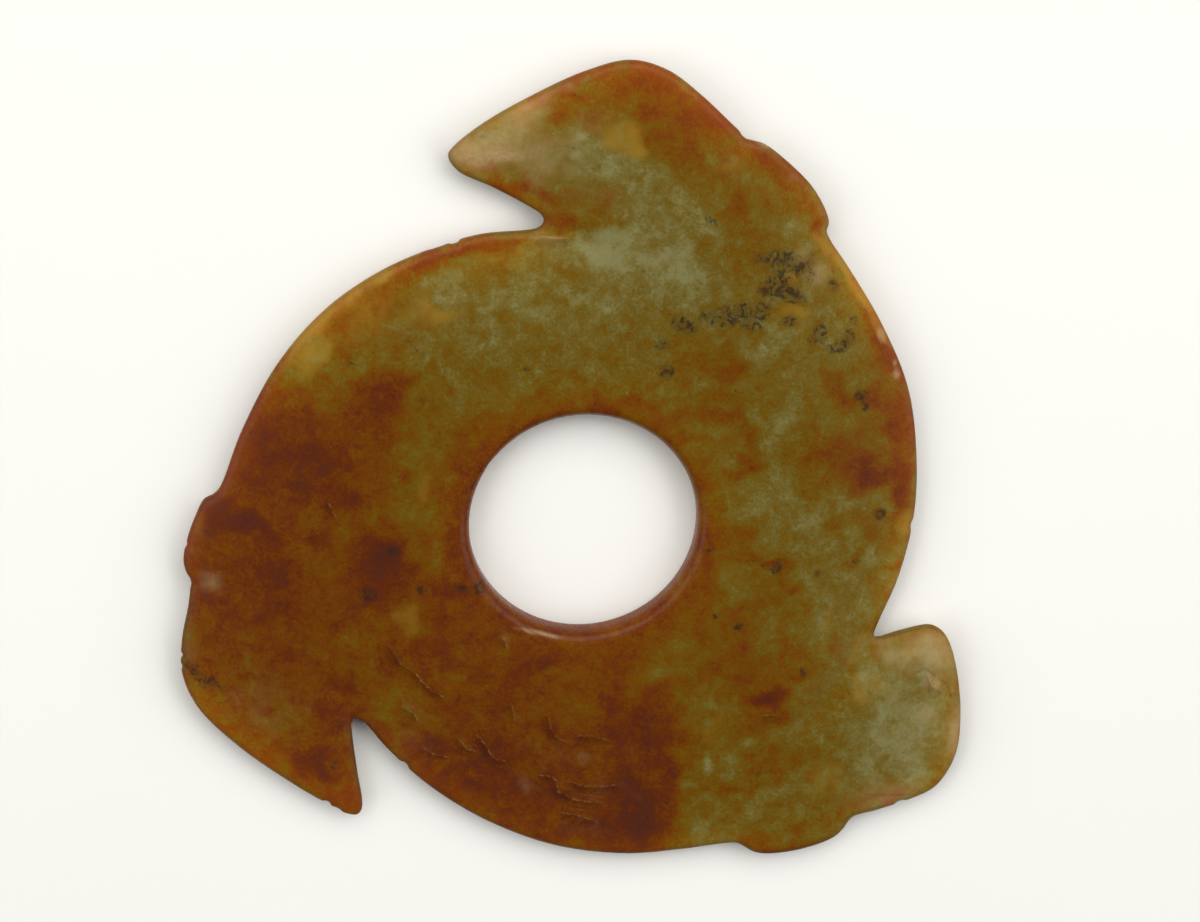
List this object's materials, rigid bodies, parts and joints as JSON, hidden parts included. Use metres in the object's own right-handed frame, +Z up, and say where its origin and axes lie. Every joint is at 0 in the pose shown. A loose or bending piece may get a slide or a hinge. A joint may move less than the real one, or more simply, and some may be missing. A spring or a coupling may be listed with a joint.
{
  "type": "notched jade bi disc",
  "caption": "Flat carved jade disc with a round hole in the middle and swept, notched wings round its rim; an ancient ritual or ornamental stone that lies flat.",
  "frame": {"origin": "under the middle of the disc's overall box, on the surface it lies on", "axes": "+Z up out of the better face, +Y towards the crest of the top wing, +X to the right of it seen from above"},
  "size_m": [0.1256, 0.132, 0.006],
  "materials": {
    "jade": "waxy polish, half clear, olive green with rust brown and orange stains"
  },
  "bodies": {
    "root": {"jade_disc": "jade"}
  },
  "joints": []
}
